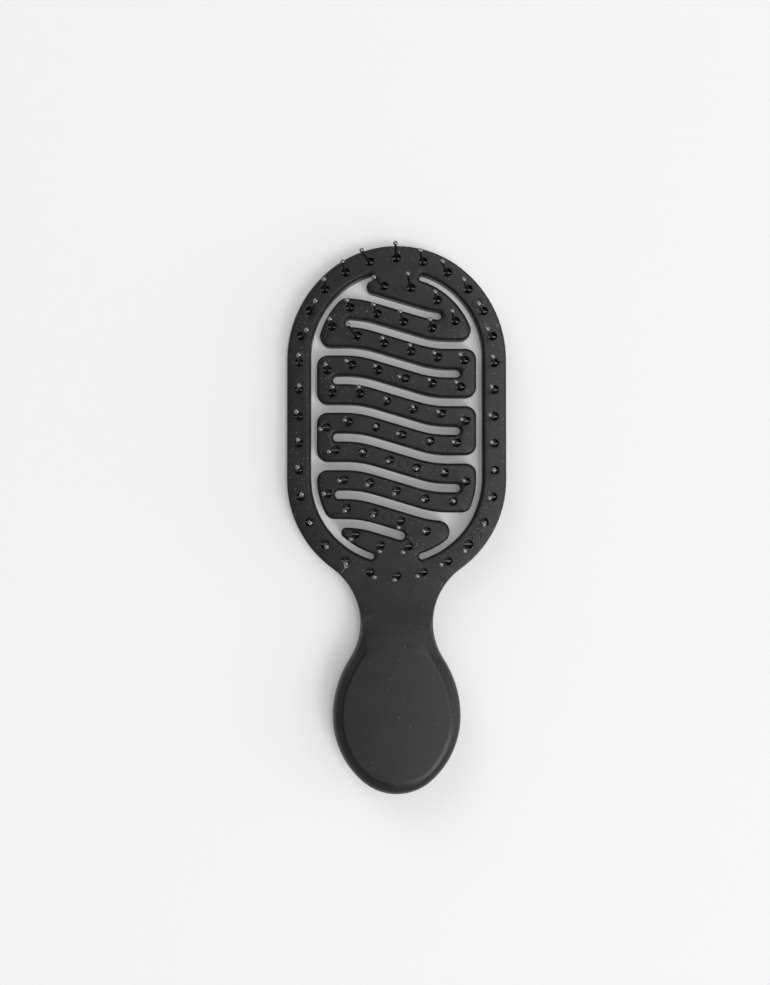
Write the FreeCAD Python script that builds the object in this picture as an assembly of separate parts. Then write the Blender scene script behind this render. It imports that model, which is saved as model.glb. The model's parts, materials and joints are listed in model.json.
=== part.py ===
import FreeCAD, Part
import math
import os

# Mini styling brush. Millimetres, +Z up. The brush lies on its back with the pins up.
# Its head points to +Y and its handle to -Y. The origin is at the middle of its length and
# width, on the surface that it lies on.

# Plan of the body, from the head's tip to the handle's end. The whole is 140 mm long.
HEAD_WIDTH = 56.1
TIP_LENGTH = 29.35
HEAD_STRAIGHT = 30.6
NECK_WIDTH = 18.6
NECK_RADIUS = 17.0
NECK_TO_WIDEST = 23.6
HANDLE_WIDTH = 32.6
WIDEST_TO_END = 19.9

# Side of the body: a level head, and a handle that is thicker on both sides
HEAD_THICKNESS = 4.4
LEVEL_ABOVE_NECK = 11.2
FULL_BELOW_NECK = 8.5
HANDLE_THICKNESS = 9.6
REST_FLAT_FROM_END = 12.0
REST_FLAT_LENGTH = 16.0
HANDLE_BACK_LIFT = 0.3
EASE = 0.45

# Rounded edges
HEAD_EDGE = 0.5
HANDLE_EDGE_RADIUS = 3.0
ROUND_STEPS = 4
EDGE_RUN_OUT_SLOPE = 0.15
VENT_EDGE = 0.6

# Vents: a channel inside the rim and slots that leave one long wavy bar
RIM_WIDTH = 6.05
RIM_AT_TIP = 6.35
VENT_STRAIGHT = 31.1
CHANNEL_WIDTH = 1.6
BRIDGE_WIDTH = 11.5
SLOT_WIDTH = 2.15
FIRST_SLOT_FROM_PAD_TOP = 7.22
LAST_SLOT_FROM_PAD_END = 5.85
SLOT_SETBACKS = (4.8, 3.2, 0.0, 0.0, 0.0, 0.0, 0.0, 0.5, 14.2)
LOBE_WIDTH = 4.05
LOBE_CORNER_RADIUS = 2.7
TOP_TONGUE_RADIUS = 1.6
LOW_TONGUE_RADIUS = 1.3
LOW_LOBE_RADIUS = 2.9
CORNER_TURN = 20

# Wave of the slots and bars: level, bend, slope, bend, level
WAVE_DROP = 5.65
WAVE_BEND_RADIUS = 26.0
WAVE_SLOPE = 0.30

# Pins, anchors and their holes, which are as wide as both need
HOLE_DEPTH = 3.0
PIN_HEIGHT = 13.0
PIN_DIAMETER = 0.6
BALL_DIAMETER = 1.2
ANCHOR_THICKNESS = 0.3
ANCHOR_HEIGHT = 1.6
PIN_CLEARANCE = 0.05
WALL_CLEARANCE = 0.01
HOLE_SIDES = 10
PIN_SIDES = 6
RIM_PIN_COUNT = 32
PIN_ABOVE_BAR_MIDDLE = 0.15

# How each pin leans, as its run to the right and to the tip for each millimetre of its height,
# clockwise from the head's tip
RIM_LEANS = (
    (-0.03, 0.15), (-0.08, 0.08), (-0.14, 0.08), (-0.15, 0.07), (-0.17, 0.04), (-0.18, 0.06), (-0.12, 0.06),
    (-0.15, 0.02), (-0.18, 0.01), (-0.15, 0.02), (-0.10, 0.02), (-0.15, 0.02), (-0.08, 0.02), (-0.14, -0.04),
    (-0.18, 0.03), (-0.14, 0.02), (-0.05, 0.02), (0.10, 0.0), (0.04, 0.04), (0.09, 0.03), (0.08, 0.05),
    (0.09, 0.09), (0.05, 0.08), (0.06, 0.07), (0.03, 0.07), (0.08, 0.04), (0.07, 0.09), (0.18, 0.04),
    (0.17, 0.09), (0.03, 0.07), (-0.03, 0.08), (-0.15, 0.09),
)

# Pins on each bar from the top: place across as a share of the pad's half width, shift from the
# bar's pin line as a share of the slots' pitch, and the lean as above
BAR_PINS = (
    ((-0.157, 0.0, -0.19, 0.05), (0.181, 0.22, -0.08, 0.15), (0.510, 0.0, -0.08, 0.05),
     (0.735, -0.71, -0.11, 0.10)),
    ((-0.809, -0.67, 0.0, 0.06), (-0.583, 0.0, -0.03, 0.04), (-0.245, -0.04, -0.06, 0.08),
     (0.088, -0.04, -0.08, 0.10), (0.446, 0.0, -0.08, 0.08)),
    ((-0.495, 0.04, -0.16, 0.13), (-0.157, 0.0, -0.03, 0.03), (0.181, 0.0, -0.04, 0.05),
     (0.515, 0.01, -0.11, 0.02), (0.853, -0.08, -0.15, 0.05)),
    ((-0.873, -0.18, 0.02, 0.05), (-0.564, 0.0, -0.07, 0.02), (-0.235, 0.0, -0.05, 0.03),
     (0.108, 0.0, -0.13, -0.01), (0.446, 0.07, -0.10, 0.03), (0.804, 0.0, -0.15, 0.05)),
    ((-0.809, 0.01, 0.05, 0.08), (-0.461, 0.03, 0.0, 0.09), (-0.127, 0.01, -0.02, 0.02),
     (0.206, 0.01, -0.03, 0.02), (0.559, 0.05, -0.11, 0.02), (0.863, -0.18, -0.14, 0.01)),
    ((-0.877, -0.18, -0.07, -0.04), (-0.603, 0.01, -0.04, 0.02), (-0.260, 0.0, 0.0, 0.01),
     (0.069, 0.0, -0.10, 0.02), (0.417, 0.05, -0.05, 0.01), (0.755, 0.05, -0.13, 0.02)),
    ((-0.765, 0.03, -0.08, -0.02), (-0.426, 0.0, 0.01, 0.03), (-0.088, 0.0, -0.04, -0.01),
     (0.245, 0.0, -0.02, 0.0), (0.598, 0.0, -0.07, 0.05), (0.863, -0.30, -0.10, 0.05)),
    ((-0.863, -0.49, -0.02, 0.04), (-0.662, 0.0, -0.05, 0.01), (-0.333, 0.0, -0.04, -0.01),
     (-0.005, 0.0, -0.05, -0.02), (0.353, 0.01, -0.07, 0.02), (0.706, 0.01, -0.05, 0.06)),
    ((-0.627, 0.01, 0.0, 0.0), (-0.289, 0.0, 0.0, 0.0), (0.049, 0.0, -0.05, -0.06),
     (0.373, -0.11, -0.08, 0.07)),
    ((-0.520, 0.12, -0.05, -0.02), (-0.206, -0.07, 0.0, -0.03), (0.147, 0.20, -0.12, -0.03)),
)

# Places worked out from the sizes above
HEAD_RADIUS = HEAD_WIDTH / 2
HEAD_TO_NECK = math.sqrt((HEAD_RADIUS + NECK_RADIUS)**2 - (NECK_WIDTH / 2 + NECK_RADIUS)**2)
TIP_Y = (TIP_LENGTH + HEAD_STRAIGHT + HEAD_TO_NECK + NECK_TO_WIDEST + WIDEST_TO_END) / 2
SIDE_TOP_Y = TIP_Y - TIP_LENGTH
SIDE_LOW_Y = SIDE_TOP_Y - HEAD_STRAIGHT
NECK_Y = SIDE_LOW_Y - HEAD_TO_NECK
WIDEST_Y = NECK_Y - NECK_TO_WIDEST
END_Y = WIDEST_Y - WIDEST_TO_END
LEVEL_Y = NECK_Y + LEVEL_ABOVE_NECK
FULL_Y = NECK_Y - FULL_BELOW_NECK
FLAT_END_Y = END_Y + REST_FLAT_FROM_END
FLAT_START_Y = FLAT_END_Y + REST_FLAT_LENGTH
HANDLE_BULGE = (HANDLE_THICKNESS - HEAD_THICKNESS) / 2
HANDLE_TOP_Z = HEAD_THICKNESS + HANDLE_BULGE
REST_Y = TIP_Y - HEAD_EDGE
REST_SLOPE = HANDLE_BULGE / (REST_Y - (FLAT_START_Y + FLAT_END_Y) / 2)
VENT_RADIUS = HEAD_RADIUS - RIM_WIDTH
PAD_RADIUS = VENT_RADIUS - CHANNEL_WIDTH
TOP_CENTRE_Y = TIP_Y - RIM_AT_TIP - VENT_RADIUS
LOW_CENTRE_Y = TOP_CENTRE_Y - VENT_STRAIGHT
FIRST_SLOT_Y = TOP_CENTRE_Y + PAD_RADIUS - FIRST_SLOT_FROM_PAD_TOP
LAST_SLOT_Y = LOW_CENTRE_Y - PAD_RADIUS + LAST_SLOT_FROM_PAD_END
SLOT_COUNT = len(SLOT_SETBACKS)
SLOT_PITCH = (FIRST_SLOT_Y - LAST_SLOT_Y) / (SLOT_COUNT - 1)
STEEPEST_BACK_LEAN = max(-pin[-1] for pin in sum(BAR_PINS, RIM_LEANS))
PIN_ROOM = ANCHOR_THICKNESS / 2 + PIN_CLEARANCE + PIN_DIAMETER
HOLE_RADIUS = PIN_ROOM + (STEEPEST_BACK_LEAN + REST_SLOPE) * HOLE_DEPTH
MARGIN = 2.0
TALL = HANDLE_THICKNESS * 3
CLOSE = 0.01


def vec(x, y, z=0.0):
    return FreeCAD.Vector(x, y, z)


def line(start, end):
    return Part.LineSegment(start, end).toShape()


def arc(start, through, end):
    return Part.Arc(start, through, end).toShape()


def rest_height(y):
    """Height of the line from the head's tip to the flat of the handle, which the brush lies on."""
    return -(REST_Y - y) * REST_SLOPE


def circle_point(centre, radius, angle):
    """Point of a level circle at an angle in radians from +X."""
    return centre + vec(radius * math.cos(angle), radius * math.sin(angle))


def arc_about(centre, start, end, clockwise=True):
    """Arc in plan about a centre, the given way round from start to end."""
    first = math.atan2(start.y - centre.y, start.x - centre.x)
    last = math.atan2(end.y - centre.y, end.x - centre.x)
    turn = (first - last) % (2 * math.pi)
    if not clockwise:
        turn -= 2 * math.pi
    middle = circle_point(centre, (start - centre).Length, first - turn / 2)
    return arc(start, middle, end)


def end_arcs(half, length):
    """Radii of the two tangent arcs that close an end of a given half width and length."""
    end_radius = half**2 / length
    drop = length - end_radius
    return end_radius, (half**2 + drop**2 - end_radius**2) / (2 * (half - end_radius))


def half_plan_edges():
    """Right half of the body's outline: tangent arcs from the head's tip to the handle's end."""
    tip_radius, flank_radius = end_arcs(HEAD_RADIUS, TIP_LENGTH)
    tip_centre = vec(0, TIP_Y - tip_radius)
    flank_centre = vec(HEAD_RADIUS - flank_radius, SIDE_TOP_Y)
    low_centre = vec(0, SIDE_LOW_Y)
    neck_centre = vec(NECK_WIDTH / 2 + NECK_RADIUS, NECK_Y)
    handle_half = HANDLE_WIDTH / 2
    widening = handle_half - NECK_WIDTH / 2
    shoulder_radius = (widening**2 + NECK_TO_WIDEST**2) / (2 * widening) - NECK_RADIUS
    shoulder_centre = vec(handle_half - shoulder_radius, WIDEST_Y)
    end_radius, side_radius = end_arcs(handle_half, WIDEST_TO_END)
    end_centre = vec(0, END_Y + end_radius)
    side_centre = vec(handle_half - side_radius, WIDEST_Y)

    tip = vec(0, TIP_Y)
    tip_end = flank_centre + (tip_centre - flank_centre) * (flank_radius / (flank_radius - tip_radius))
    side_top = vec(HEAD_RADIUS, SIDE_TOP_Y)
    side_low = vec(HEAD_RADIUS, SIDE_LOW_Y)
    neck_start = low_centre + (neck_centre - low_centre) * (HEAD_RADIUS / (HEAD_RADIUS + NECK_RADIUS))
    neck_end = neck_centre + (shoulder_centre - neck_centre) * (NECK_RADIUS / (NECK_RADIUS + shoulder_radius))
    widest = vec(handle_half, WIDEST_Y)
    end_start = side_centre + (end_centre - side_centre) * (side_radius / (side_radius - end_radius))
    end = vec(0, END_Y)
    return [
        arc_about(tip_centre, tip, tip_end),
        arc_about(flank_centre, tip_end, side_top),
        line(side_top, side_low),
        arc_about(low_centre, side_low, neck_start),
        arc_about(neck_centre, neck_start, neck_end, clockwise=False),
        arc_about(shoulder_centre, neck_end, widest),
        arc_about(side_centre, widest, end_start),
        arc_about(end_centre, end_start, end),
    ]


def ease_curve(start, end, slope=0.0):
    """Smooth change of height from a level place to one with a given slope."""
    reach = (start.y - end.y) * EASE
    curve = Part.BezierCurve()
    curve.setPoles([start, start - vec(0, reach), end + vec(0, reach, reach * slope), end])
    return curve.toShape()


def level_arc(start, slope, change):
    """Arc that leaves a place along its slope and bends away from it by the handle's end."""
    length = start.y - END_Y
    radius = (length**2 + change**2) / (2 * abs(change))
    sign = math.copysign(1.0, change)

    def point(y):
        run = start.y - y
        sink = radius - math.sqrt(radius**2 - run**2)
        return vec(0, y, start.z - run * slope + sign * sink)

    last = END_Y - MARGIN
    return arc(start, point((start.y + last) / 2), point(last))


def side_edges():
    """Edges of the face and of the back, seen from the side, past both ends of the body."""
    far_y = TIP_Y + MARGIN
    face = [
        line(vec(0, far_y, HEAD_THICKNESS), vec(0, LEVEL_Y, HEAD_THICKNESS)),
        ease_curve(vec(0, LEVEL_Y, HEAD_THICKNESS), vec(0, FULL_Y, HANDLE_TOP_Z)),
        line(vec(0, FULL_Y, HANDLE_TOP_Z), vec(0, END_Y - MARGIN, HANDLE_TOP_Z)),
    ]
    flat_start = vec(0, FLAT_START_Y, rest_height(FLAT_START_Y))
    flat_end = vec(0, FLAT_END_Y, rest_height(FLAT_END_Y))
    back = [
        line(vec(0, far_y, 0), vec(0, LEVEL_Y, 0)),
        ease_curve(vec(0, LEVEL_Y, 0), flat_start, REST_SLOPE),
        line(flat_start, flat_end),
        level_arc(flat_end, REST_SLOPE, HANDLE_BACK_LIFT),
    ]
    return face, back


def side_slab():
    """Solid between the face and the back, wider than the body."""
    face, back = side_edges()
    far_y = TIP_Y + MARGIN
    near_y = END_Y - MARGIN
    near_back = back[-1].valueAt(back[-1].LastParameter)
    closing = [
        line(vec(0, far_y, HEAD_THICKNESS), vec(0, far_y, 0)),
        line(vec(0, near_y, HANDLE_TOP_Z), near_back),
    ]
    wire = Part.Wire(Part.__sortEdges__(face + back + closing))
    slab = Part.Face(wire).extrude(vec(2 * HEAD_WIDTH, 0))
    slab.translate(vec(-HEAD_WIDTH, 0))
    return slab


def outline_ring(outline, inset, z):
    """The body's outline moved inwards, at a height."""
    ring = outline.makeOffset2D(-inset, 0, False, False) if inset > 0 else outline.copy()
    ring.translate(vec(0, 0, z))
    return ring


def quarter_steps(radius, count):
    """Points of a quarter round from the wall up, as (inset, rise)."""
    steps = []
    for index in range(count + 1):
        angle = math.pi / 2 * index / count
        steps.append((radius * (1 - math.cos(angle)), radius * math.sin(angle)))
    return steps


def pebble(outline):
    """The whole outline as a tall solid with the handle's round edges above and below."""
    steps = quarter_steps(HANDLE_EDGE_RADIUS, ROUND_STEPS)
    low = HEAD_THICKNESS - HANDLE_TOP_Z + HANDLE_EDGE_RADIUS
    high = HANDLE_TOP_Z - HANDLE_EDGE_RADIUS
    rings = [outline_ring(outline, inset, low - rise) for inset, rise in reversed(steps)]
    rings += [outline_ring(outline, inset, high + rise) for inset, rise in steps]
    return Part.makeLoft(rings, True, True)


def head_edge_zone(outline, side):
    """Space with a small broken edge at the head's face or back, which runs out along the neck."""
    level = HEAD_THICKNESS if side > 0 else 0.0
    small = HEAD_EDGE * (1 - math.sqrt(0.5))
    steps = ((0.0, TALL), (0.0, HEAD_EDGE), (small, small), (HEAD_EDGE, 0.0))
    tool = Part.makeLoft([outline_ring(outline, inset, level - side * depth) for inset, depth in steps], True, True)
    lead = FreeCAD.Matrix()
    lead.A32 = -side * EDGE_RUN_OUT_SLOPE
    lead.A34 = side * EDGE_RUN_OUT_SLOPE * LEVEL_Y
    head_side = Part.makeBox(2 * HEAD_WIDTH, 2 * TIP_Y, 4 * TALL, vec(-HEAD_WIDTH, LEVEL_Y, -2 * TALL))
    return tool.common(head_side).fuse(tool.transformGeometry(lead).cut(head_side))


def body_blank():
    """Body without vents and holes."""
    right = half_plan_edges()
    left = [edge.mirror(vec(0, 0), vec(1, 0)) for edge in right]
    outline = Part.Wire(Part.__sortEdges__(right + left))
    blank = pebble(outline).common(side_slab())
    for side in (1, -1):
        blank = blank.common(head_edge_zone(outline, side))
    return blank


def stadium_edges(radius):
    """Round-ended outline about the two centres of the vents."""
    top_left, top_right = vec(-radius, TOP_CENTRE_Y), vec(radius, TOP_CENTRE_Y)
    low_left, low_right = vec(-radius, LOW_CENTRE_Y), vec(radius, LOW_CENTRE_Y)
    return [
        arc(top_left, vec(0, TOP_CENTRE_Y + radius), top_right),
        line(top_right, low_right),
        arc(low_right, vec(0, LOW_CENTRE_Y - radius), low_left),
        line(low_left, top_left),
    ]


def stroke(edges, width):
    """Round-ended strip of a given width along a line in plan."""
    outline = Part.Wire(edges).makeOffset2D(width / 2, 0, False, False)
    return Part.Face(outline)


def wave_sizes():
    """Half length of the sloping part, and where the wave is level again."""
    angle = math.atan(WAVE_SLOPE)
    bend_reach = WAVE_BEND_RADIUS * math.sin(angle)
    bend_drop = WAVE_BEND_RADIUS * (1 - math.cos(angle))
    slope_half = (WAVE_DROP / 2 - bend_drop) / WAVE_SLOPE
    return slope_half, slope_half + bend_reach


SLOPE_HALF, WAVE_HALF = wave_sizes()


def wave_at(x):
    """Height in plan of the wave, from its middle. It falls from left to right."""
    reach = abs(x)
    if reach <= SLOPE_HALF:
        drop = WAVE_SLOPE * reach
    elif reach <= WAVE_HALF:
        rise = math.sqrt(WAVE_BEND_RADIUS**2 - (WAVE_HALF - reach)**2)
        drop = WAVE_DROP / 2 - (WAVE_BEND_RADIUS - rise)
    else:
        drop = WAVE_DROP / 2
    return -math.copysign(drop, x)


def wave_edges(start_x, end_x, middle_y):
    """The wave's own line between two places across the head."""
    marks = [start_x]
    for mark in (-WAVE_HALF, -SLOPE_HALF, SLOPE_HALF, WAVE_HALF):
        if start_x < mark < end_x:
            marks.append(mark)
    marks.append(end_x)
    edges = []
    for left, right in zip(marks, marks[1:]):
        start = vec(left, middle_y + wave_at(left))
        end = vec(right, middle_y + wave_at(right))
        middle_x = (left + right) / 2
        through = vec(middle_x, middle_y + wave_at(middle_x))
        bends = SLOPE_HALF < abs(middle_x) < WAVE_HALF
        edges.append(arc(start, through, end) if bends else line(start, end))
    return edges


def channel_edges(side):
    """Middle line of the channel on one side of the head, from bridge to bridge."""
    radius = (VENT_RADIUS + PAD_RADIUS) / 2
    half = BRIDGE_WIDTH / 2 + CHANNEL_WIDTH / 2
    rise = math.sqrt(radius**2 - half**2)
    upper_bend = vec(side * radius * math.sqrt(0.5), TOP_CENTRE_Y + radius * math.sqrt(0.5))
    lower_bend = vec(side * radius * math.sqrt(0.5), LOW_CENTRE_Y - radius * math.sqrt(0.5))
    upper = vec(side * radius, TOP_CENTRE_Y)
    lower = vec(side * radius, LOW_CENTRE_Y)
    return [
        arc(vec(side * half, TOP_CENTRE_Y + rise), upper_bend, upper),
        line(upper, lower),
        arc(lower, lower_bend, vec(side * half, LOW_CENTRE_Y - rise)),
    ]


def slot_middle(index):
    """Place of a slot's middle along the head. Slots are counted from the tip."""
    return FIRST_SLOT_Y - index * SLOT_PITCH


def slot_face(index):
    """One slot, open into the channel on one side and round where it ends on the other."""
    reach = PAD_RADIUS - LOBE_WIDTH - SLOT_SETBACKS[index] - SLOT_WIDTH / 2
    far = HEAD_RADIUS
    if index % 2 == 0:
        return stroke(wave_edges(-far, reach, slot_middle(index)), SLOT_WIDTH)
    return stroke(wave_edges(-reach, far, slot_middle(index)), SLOT_WIDTH)


def lobe_corner_radii(side):
    """Corner radii of the lobes and tongues along one channel, from the tip down."""
    count = (SLOT_COUNT + 1) // 2 if side < 0 else SLOT_COUNT // 2
    radii = [LOBE_CORNER_RADIUS] * (2 * count)
    if side < 0:
        radii[0] = TOP_TONGUE_RADIUS
        radii[-1] = LOW_TONGUE_RADIUS
    else:
        radii[-1] = LOW_LOBE_RADIUS
    return radii


def bend_angle(solid, edge):
    """Angle in degrees by which the surface turns across an edge."""
    middle = edge.valueAt((edge.FirstParameter + edge.LastParameter) / 2)
    normals = []
    for face in solid.ancestorsOfType(edge, Part.Face):
        u, v = face.Surface.parameter(middle)
        normals.append(face.normalAt(u, v))
    return math.degrees(normals[0].getAngle(normals[1]))


def mouth_corners(solid):
    """Upright edges where the slots meet the pad's side of the channel, from the tip down."""
    pad = Part.Wire(stadium_edges(PAD_RADIUS))
    found = []
    for edge in solid.Edges:
        upright = abs(edge.tangentAt(edge.FirstParameter).z) > 0.5
        place = vec(edge.CenterOfMass.x, edge.CenterOfMass.y)
        at_pad = pad.distToShape(Part.Vertex(place))[0] < CLOSE
        if upright and at_pad and bend_angle(solid, edge) > CORNER_TURN:
            found.append(edge)
    return sorted(found, key=lambda edge: -edge.CenterOfMass.y)


def vent_cutter(side):
    """Channel and open slots of one side as one upright solid with rounded mouths."""
    inside = Part.Face(Part.Wire(stadium_edges(VENT_RADIUS)))
    slots = [slot_face(index) for index in range(SLOT_COUNT) if (index % 2 == 0) == (side < 0)]
    comb = stroke(channel_edges(side), CHANNEL_WIDTH).fuse(slots).common(inside).removeSplitter()
    cutter = comb.Faces[0].extrude(vec(0, 0, 2 * TALL))
    cutter.translate(vec(0, 0, -TALL))
    for radius in lobe_corner_radii(side):
        cutter = cutter.makeFillet(radius, mouth_corners(cutter)[:1])
    return cutter


def vent_edges(shape):
    """Edges round the vents at the height of the face."""
    found = []
    for edge in shape.Edges:
        box = edge.BoundBox
        at_level = abs(box.ZMin - HEAD_THICKNESS) < CLOSE and abs(box.ZMax - HEAD_THICKNESS) < CLOSE
        across = max(abs(box.XMin), abs(box.XMax)) < VENT_RADIUS + CLOSE
        along = box.YMin > LOW_CENTRE_Y - VENT_RADIUS - CLOSE and box.YMax < TOP_CENTRE_Y + VENT_RADIUS + CLOSE
        if at_level and across and along:
            found.append(edge)
    return found


def rim_place(radius, top_y, distance):
    """Place at a distance along the rim's round-ended pin line, clockwise from its top."""
    quarter = math.pi * radius / 2
    straight = top_y - LOW_CENTRE_Y
    marks = (quarter, straight, 2 * quarter, straight)
    if distance < marks[0]:
        return circle_point(vec(0, top_y), radius, math.pi / 2 - distance / radius)
    distance -= marks[0]
    if distance < marks[1]:
        return vec(radius, top_y - distance)
    distance -= marks[1]
    if distance < marks[2]:
        return circle_point(vec(0, LOW_CENTRE_Y), radius, -distance / radius)
    distance -= marks[2]
    if distance < marks[3]:
        return vec(-radius, LOW_CENTRE_Y + distance)
    distance -= marks[3]
    return circle_point(vec(0, top_y), radius, math.pi - distance / radius)


def bar_middle(index):
    """Place of a bar's middle along the head. Bars are counted from the tip."""
    return slot_middle(index) + SLOT_PITCH / 2


def rim_places():
    """Holes along the middle of the rim at an even pitch, as (hole centre on the face, lean)."""
    radius = VENT_RADIUS + RIM_WIDTH / 2
    top_y = TIP_Y - RIM_AT_TIP / 2 - radius
    pitch = (2 * math.pi * radius + 2 * (top_y - LOW_CENTRE_Y)) / RIM_PIN_COUNT
    places = []
    for index in range(RIM_PIN_COUNT):
        place = rim_place(radius, top_y, index * pitch) + vec(0, 0, HEAD_THICKNESS)
        places.append((place, RIM_LEANS[index % len(RIM_LEANS)]))
    return places


def pad_places():
    """Holes of the bars, as (hole centre on the face, lean)."""
    places = []
    for index, pins in enumerate(BAR_PINS):
        for share, shift, lean_x, lean_y in pins:
            x = PAD_RADIUS * share
            y = bar_middle(index) + wave_at(x) + PIN_ABOVE_BAR_MIDDLE + SLOT_PITCH * shift
            places.append((vec(x, y, HEAD_THICKNESS), (lean_x, lean_y)))
    return places


def ringed_solid(axis_point, way, rings, sides):
    """Solid of flat facets about an axis. Each ring is (distance along the axis, radius)."""
    across = way.cross(vec(1, 0)).normalize()
    along = across.cross(way)
    loops = []
    for distance, radius in rings:
        loop = []
        for index in range(sides):
            angle = 2 * math.pi * (index + 0.5) / sides
            spoke = along * math.cos(angle) + across * math.sin(angle)
            loop.append(axis_point + way * distance + spoke * radius)
        loops.append(loop)
    outlines = [loops[0], loops[-1]]
    for low, high in zip(loops, loops[1:]):
        for index in range(sides):
            after = (index + 1) % sides
            outlines.append([low[index], low[after], high[after], high[index]])
    faces = [Part.Face(Part.makePolygon(outline + outline[:1])) for outline in outlines]
    return Part.Solid(Part.Shell(faces))


def hole(place):
    """Blind hole with flat facets about its round, two of them across the anchor's ends."""
    radius = HOLE_RADIUS / math.cos(math.pi / HOLE_SIDES)
    return ringed_solid(place, vec(0, 0, 1), ((-HOLE_DEPTH, radius), (MARGIN, radius)), HOLE_SIDES)


def pin(place, lean):
    """Pin that stands on the floor of its hole beside the anchor, with a ball on its tip."""
    radius = PIN_DIAMETER / 2
    run = vec(PIN_HEIGHT * lean[0], PIN_HEIGHT * (lean[1] - REST_SLOPE), PIN_HEIGHT + HOLE_DEPTH / 2)
    way = run * (1 / run.Length)
    anchor_half = ANCHOR_HEIGHT / 2
    side = -(ANCHOR_THICKNESS / 2 + PIN_CLEARANCE + radius) - abs(way.y / way.z) * anchor_half
    floor = -HOLE_DEPTH + radius * math.hypot(way.x, way.y)

    def leg_point(height):
        x = way.x / way.z * (height + HOLE_DEPTH / 2)
        y = side + way.y / way.z * (height + HOLE_DEPTH - anchor_half)
        return place + vec(x, y, height)

    foot = leg_point(floor)
    length = (leg_point(PIN_HEIGHT) - foot).Length
    ball = BALL_DIAMETER / 2
    neck = math.sqrt(ball**2 - radius**2)
    rings = ((0, radius), (length - neck, radius), (length - ball / 3, ball), (length + ball / 3, ball),
             (length + neck, radius))
    return ringed_solid(foot, way, rings, PIN_SIDES)


def anchor(place):
    """Flat slip of metal pressed across a hole, standing on its floor."""
    half = HOLE_RADIUS - WALL_CLEARANCE
    corner = place - vec(half, ANCHOR_THICKNESS / 2, HOLE_DEPTH)
    return Part.makeBox(2 * half, ANCHOR_THICKNESS, ANCHOR_HEIGHT, corner)


def build_brush_body():
    body = body_blank()
    for side in (-1, 1):
        body = body.cut(vent_cutter(side))
    body = body.makeChamfer(VENT_EDGE, vent_edges(body))
    holes = [hole(place) for place, lean in rim_places() + pad_places()]
    return body.cut(Part.makeCompound(holes))


def lay_down(nodes):
    """Tips the brush on to its rest line, and centres it above the origin."""
    angle = -math.degrees(math.atan(REST_SLOPE))
    for shape in nodes.values():
        shape.rotate(vec(0, 0), vec(1, 0), angle)
    box = nodes["brush_body"].BoundBox
    rise = REST_Y * math.sin(math.radians(-angle))
    for shape in nodes.values():
        shape.translate(vec(0, -(box.YMin + box.YMax) / 2, rise))


def main():
    os.makedirs("parts", exist_ok=True)
    rim = rim_places()
    pad = pad_places()
    nodes = {
        "brush_body": build_brush_body(),
        "rim_pins": Part.makeCompound([pin(place, lean) for place, lean in rim]),
        "pad_pins": Part.makeCompound([pin(place, lean) for place, lean in pad]),
        "rim_anchors": Part.makeCompound([anchor(place) for place, lean in rim]),
        "pad_anchors": Part.makeCompound([anchor(place) for place, lean in pad]),
    }
    lay_down(nodes)
    for name, shape in nodes.items():
        print(name, shape.isValid(), len(shape.Solids), round(shape.Volume, 2))
        shape.exportStep("parts/" + name + ".step")


main()
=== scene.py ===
import json
import logging
import math
import random
from dataclasses import dataclass, field
from enum import Enum
from typing import ClassVar

import bpy
from mathutils import Matrix, Vector

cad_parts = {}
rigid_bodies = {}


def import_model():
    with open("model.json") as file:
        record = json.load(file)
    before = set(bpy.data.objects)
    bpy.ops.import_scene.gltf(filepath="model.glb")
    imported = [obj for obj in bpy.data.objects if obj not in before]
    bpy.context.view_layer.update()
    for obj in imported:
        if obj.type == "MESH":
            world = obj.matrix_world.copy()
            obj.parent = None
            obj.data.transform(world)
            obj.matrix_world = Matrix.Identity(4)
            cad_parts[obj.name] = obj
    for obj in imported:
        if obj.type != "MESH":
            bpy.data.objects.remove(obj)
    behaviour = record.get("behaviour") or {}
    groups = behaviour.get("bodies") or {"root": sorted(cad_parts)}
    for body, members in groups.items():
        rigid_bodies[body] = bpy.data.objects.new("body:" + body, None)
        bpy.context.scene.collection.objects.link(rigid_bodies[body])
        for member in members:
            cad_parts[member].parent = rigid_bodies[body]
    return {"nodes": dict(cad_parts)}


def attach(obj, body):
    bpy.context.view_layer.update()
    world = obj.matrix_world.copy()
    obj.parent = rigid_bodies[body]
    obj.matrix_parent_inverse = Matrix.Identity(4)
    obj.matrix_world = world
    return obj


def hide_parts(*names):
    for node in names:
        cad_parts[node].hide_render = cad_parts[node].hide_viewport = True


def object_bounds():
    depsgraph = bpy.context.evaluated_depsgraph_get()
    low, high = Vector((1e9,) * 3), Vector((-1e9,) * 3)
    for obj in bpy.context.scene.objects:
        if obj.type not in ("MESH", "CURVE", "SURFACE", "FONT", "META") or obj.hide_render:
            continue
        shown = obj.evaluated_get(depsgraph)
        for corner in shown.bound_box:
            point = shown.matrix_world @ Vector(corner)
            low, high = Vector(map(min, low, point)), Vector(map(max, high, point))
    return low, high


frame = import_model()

CAD_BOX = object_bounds()

# Lengths are in metres. The brush lies on its back, with its head towards +Y.
MM = 0.001
BODY = "root"

# The photograph: its size in pixels, and where the brush lies in it
PHOTO_WIDTH = 770
PHOTO_HEIGHT = 985
HEAD_TIP_ROW = 245.3
HANDLE_END_ROW = 792.6
BRUSH_MIDDLE_COLUMN = 396.6

WHITE = (1.0, 1.0, 1.0, 1.0)

Colour = tuple[float, float, float, float]
Place = tuple[float, float, float]
CornerKey = tuple[int, ...]
Reading = bpy.types.NodeSocket | float

log = logging.getLogger("mini_brush")


class Slot(Enum):
    """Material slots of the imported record."""

    BODY = "body_plastic"
    PIN = "pin_plastic"


class Socket(Enum):
    """Kinds of socket on a shader node group."""

    NUMBER = "NodeSocketFloat"
    VECTOR = "NodeSocketVector"


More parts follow.
